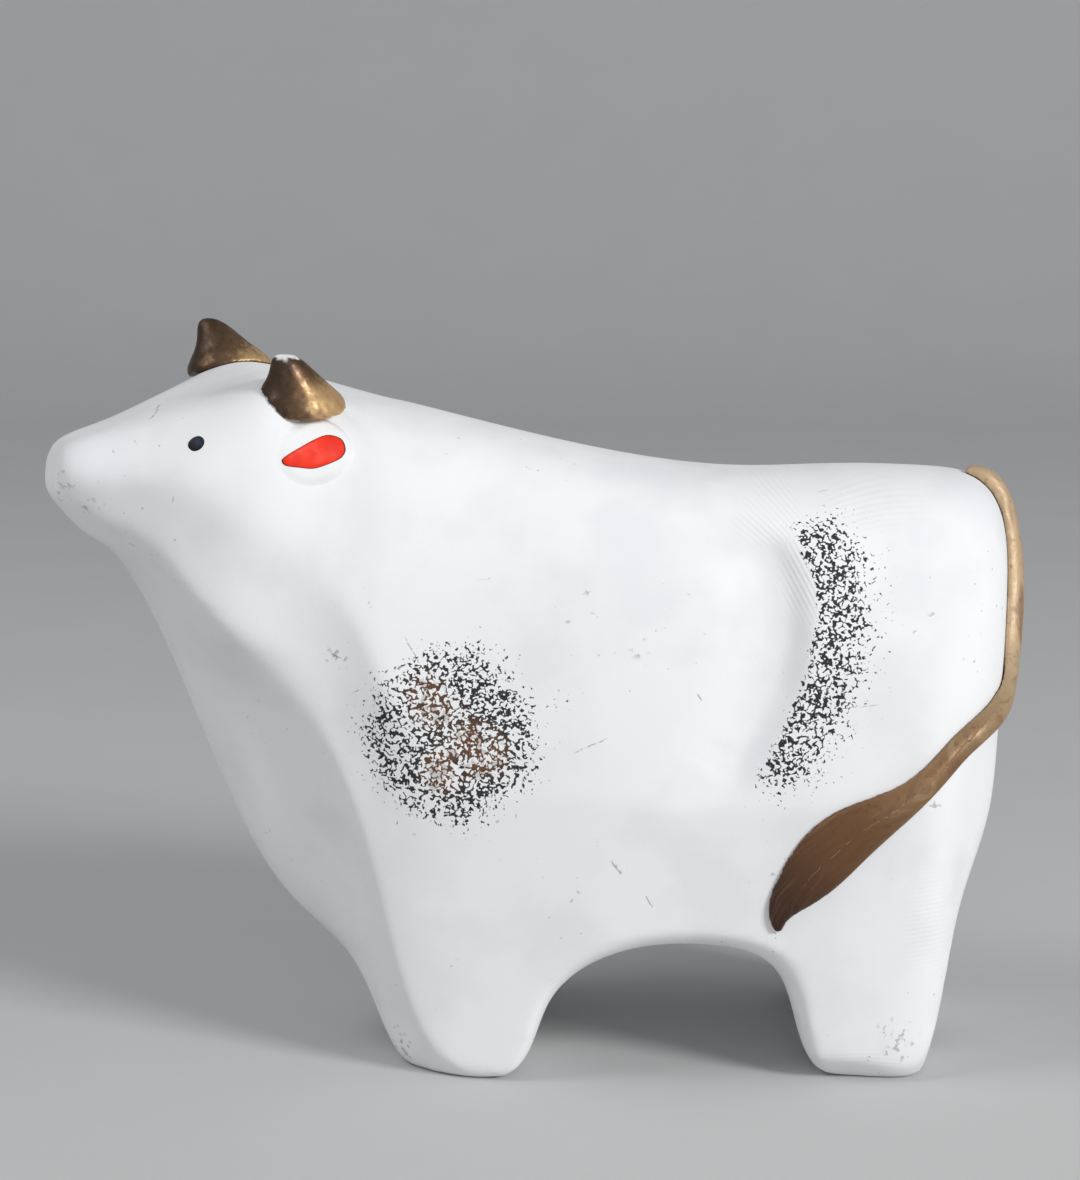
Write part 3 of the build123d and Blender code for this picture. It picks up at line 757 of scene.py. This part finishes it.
def horn_paint(name):
    """Bronze paint rubbed with gold speckles, with a painted gold highlight on the right, lower side, painted
    shade on the left side and round the base, chipped white where the plaster shows.
    """
    paint = Paint(name)
    chip = paint.attribute("chip")
    fine = paint.noise(700, 4, 0.4)
    cloud = paint.noise(190, 2, 0.3)
    worked = paint.math("ADD", paint.math("MULTIPLY", fine, 0.9), paint.math("MULTIPLY", cloud, 0.5))
    # Gold speckles from the noise; the side share adds a painted gold highlight on the right and painted
    # shade in dark bronze on the left
    gold = paint.math("ADD", paint.attribute("gold"), paint.math("SUBTRACT", worked, 0.7))
    colour = paint.mix(paint.ramp(gold, -0.10, 0.45), BRONZE_DARK, HORN_BROWN)
    colour = paint.mix(paint.ramp(gold, 0.35, 1.05), colour, HORN_GOLD_HIGHLIGHT)
    # Painted shade: dark bronze low on the horn, close to the body
    low = paint.math("ADD", paint.attribute("rise"), paint.math("MULTIPLY", fine, 0.4))
    colour = paint.mix(paint.ramp(low, 0.25, 0.65, 0.9, 0.0), colour, BRONZE_DARK)
    colour = paint.mix(chip, colour, PLASTER_WHITE)
    paint.set("Base Color", colour)
    metal = paint.ramp(cloud, 0.30, 0.70, 0.40, 0.75)
    paint.set("Metallic", paint.math("MULTIPLY", metal, paint.ramp(chip, 0.0, 0.6, 1.0, 0.0)))
    paint.set("Roughness", paint.ramp(fine, 0.30, 0.75, 0.50, 0.32))
    height = paint.math("ADD", paint.math("MULTIPLY", cloud, 0.6), paint.math("MULTIPLY", fine, 0.45))
    height = paint.math("SUBTRACT", height, paint.math("MULTIPLY", chip, 0.8))
    paint.bump(height, 0.5, 0.25 * MM)
    return paint.material


def enamel_paint(name, middle, other, rim, rim_start, roughness):
    """Thick enamel with a thin dark line round its rim."""
    paint = Paint(name)
    colour = paint.mix(paint.ramp(paint.noise(420, 3), 0.40, 0.66), middle, other)
    line = paint.ramp(paint.attribute("rim"), rim_start, 0.99)
    paint.set("Base Color", paint.mix(line, colour, rim))
    paint.set("Roughness", paint.ramp(paint.noise(700, 2), 0.3, 0.7, roughness - 0.06, roughness + 0.06))
    paint.set("Specular IOR Level", 0.25)
    paint.bump(paint.noise(800, 2), 0.25, 0.08 * MM)
    return paint.material


COATS = {
    "ear_pad": plaster_paint("plaster_plain", False),
    "ear_enamel": enamel_paint("enamel_red", ENAMEL_RED, ENAMEL_RED_DEEP, ENAMEL_RIM, 0.92, 0.45),
    "eye_enamel": enamel_paint("enamel_black", EYE_NAVY, EYE_BLACK, EYE_BLACK, 0.70, 0.52),
    "horn_skin": horn_paint("bronze_horn"),
    "tail_skin": tail_paint("bronze_tail"),
    "body_skin": plaster_paint("plaster_painted", True),
}
for obj in bpy.data.objects:
    for start, coat in COATS.items():
        if obj.name.startswith(start):
            obj.data.materials.append(coat)

# Floor that sweeps up into a backdrop
SWEEP_START = 0.9
SWEEP_RADIUS = 0.5
SWEEP_STEPS = 16
BACKDROP_HEIGHT = 2.0
HALF_WIDTH = 4.0
FLOOR_GREY = (0.55, 0.55, 0.55, 1)
FLOOR_PALE = (0.58, 0.58, 0.58, 1)
profile = [(-3.0, 0.0), (SWEEP_START, 0.0)]
for step in range(1, SWEEP_STEPS + 1):
    angle = pi / 2 * step / SWEEP_STEPS
    profile.append((SWEEP_START + SWEEP_RADIUS * sin(angle), SWEEP_RADIUS * (1 - cos(angle))))
profile.append((SWEEP_START + SWEEP_RADIUS, BACKDROP_HEIGHT))
verts = []
for depth_y, height_z in profile:
    verts.append((-HALF_WIDTH, depth_y, height_z))
    verts.append((HALF_WIDTH, depth_y, height_z))
faces = [(2 * i, 2 * i + 1, 2 * i + 3, 2 * i + 2) for i in range(len(profile) - 1)]
floor_mesh = bpy.data.meshes.new("floor")
floor_mesh.from_pydata(verts, [], faces)
shade_smooth(floor_mesh)
floor = new_object("floor", floor_mesh)
floor_paint = Paint("floor")
floor_paint.set("Base Color", floor_paint.mix(floor_paint.noise(30, 3), FLOOR_GREY, FLOOR_PALE))
floor_paint.set("Roughness", 0.85)
floor.data.materials.append(floor_paint.material)


def area_lamp(name, place, target, size, power):
    lamp = bpy.data.lights.new(name, "AREA")
    lamp.shape = "RECTANGLE"
    lamp.size = size[0]
    lamp.size_y = size[1]
    lamp.energy = power
    obj = bpy.data.objects.new(name, lamp)
    obj.location = place
    aim = Vector(target) - Vector(place)
    obj.rotation_euler = aim.to_track_quat("-Z", "Y").to_euler()
    bpy.context.scene.collection.objects.link(obj)


MIDDLE = (0, 0, 0.06)
area_lamp("key", (1.05, -0.9, 0.70), MIDDLE, (0.4, 0.4), 14.8)
area_lamp("fill", (-0.75, -0.25, 0.95), MIDDLE, (0.5, 0.5), 3.6)
area_lamp("low", (-0.25, -1.1, 0.08), MIDDLE, (0.6, 0.4), 0.9)

world = bpy.data.worlds.new("studio")
bpy.context.scene.world = world
world.use_nodes = True
backdrop = world.node_tree.nodes["Background"]
backdrop.inputs["Color"].default_value = (0.95, 0.97, 1.0, 1)
backdrop.inputs["Strength"].default_value = 0.33

camera = bpy.data.cameras.new("camera")
camera.sensor_fit = "HORIZONTAL"
camera.sensor_width = SENSOR_WIDTH
camera.lens = LENS
camera_object = bpy.data.objects.new("camera", camera)
camera_object.location = CAMERA_PLACE
camera_object.rotation_euler = (radians(90 - CAMERA_PITCH), 0, 0)
bpy.context.scene.collection.objects.link(camera_object)
bpy.context.scene.camera = camera_object
bpy.context.scene.view_settings.view_transform = "Standard"
